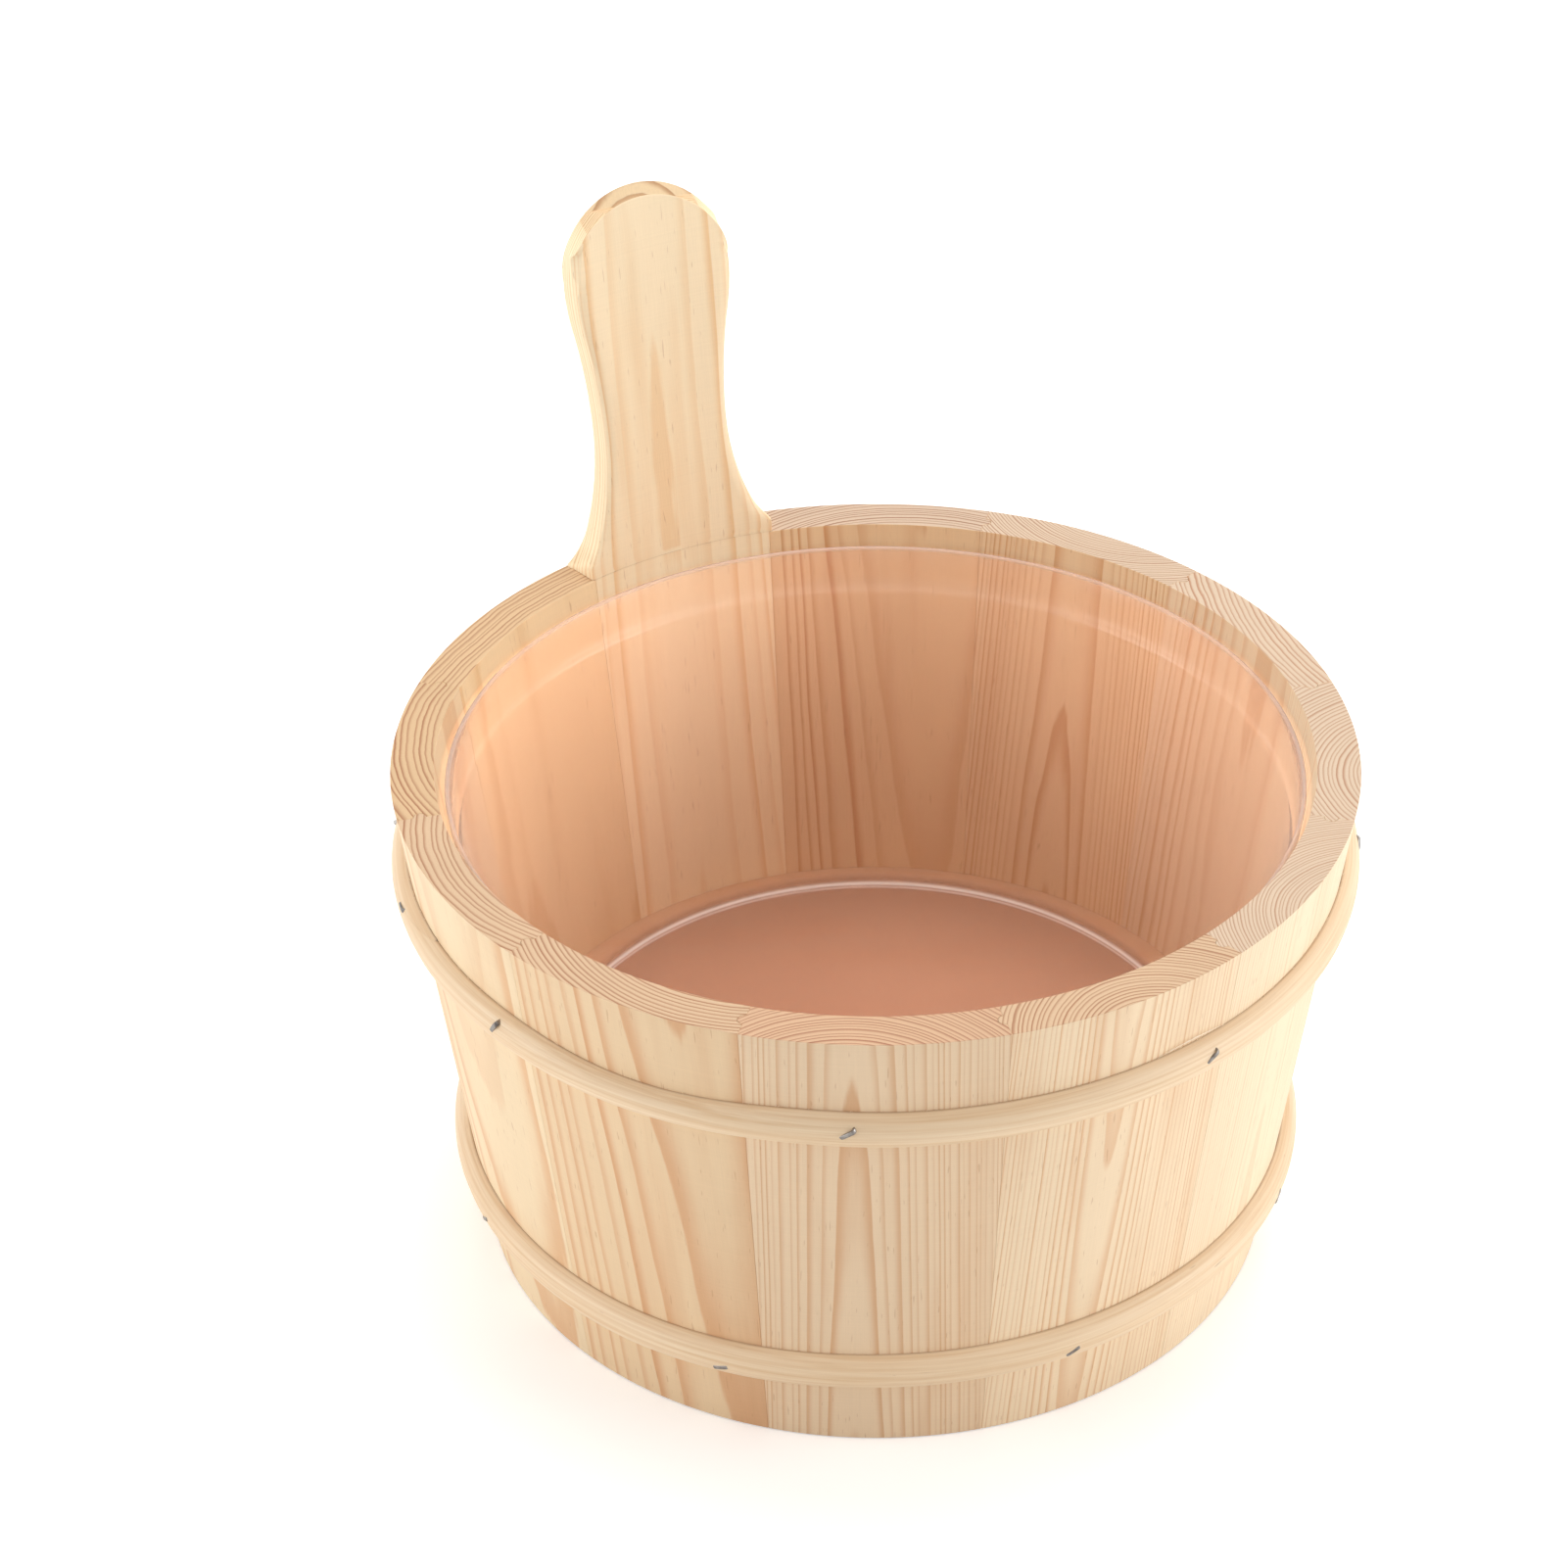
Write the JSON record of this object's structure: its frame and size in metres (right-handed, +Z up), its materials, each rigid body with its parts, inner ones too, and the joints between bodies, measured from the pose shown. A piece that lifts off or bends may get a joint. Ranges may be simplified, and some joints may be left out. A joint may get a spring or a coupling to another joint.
{
  "type": "piggin",
  "caption": "Small coopered wooden pail whose one tall stave is a waisted upright handle, bound by half round hoops, with a clear liner that lifts out.",
  "frame": {"origin": "centre of the pail's foot, on the plane the staves stand on", "axes": "+Z up along the pail's axis, +Y towards the handle, +X to the right seen from the side opposite the handle"},
  "size_m": [0.2524, 0.2649, 0.2445],
  "materials": {
    "stave_wood": "planed and sanded, bare pine",
    "bottom_wood": "planed, bare pine",
    "hoop_cane": "satin split cane",
    "staple_wire": "drawn wire, dull grey",
    "liner_plastic": "clear, slightly frosted"
  },
  "bodies": {
    "pail": {"handle_stave": "stave_wood", "wide_stave": "stave_wood", "stave_01": "stave_wood", "stave_02": "stave_wood", "stave_03": "stave_wood", "stave_04": "stave_wood", "stave_05": "stave_wood", "stave_06": "stave_wood", "stave_07": "stave_wood", "stave_08": "stave_wood", "stave_09": "stave_wood", "stave_10": "stave_wood", "front_bottom_plank": "bottom_wood", "middle_bottom_plank": "bottom_wood", "back_bottom_plank": "bottom_wood", "upper_hoop": "hoop_cane", "lower_hoop": "hoop_cane", "upper_hoop_staples": "staple_wire", "lower_hoop_staples": "staple_wire"},
    "liner": {"liner": "liner_plastic"}
  },
  "joints": [
    {"name": "liner_lift", "type": "slide", "parent": "pail", "child": "liner", "axis": [0, 0, 1], "range_m": [0, 0.22]}
  ]
}
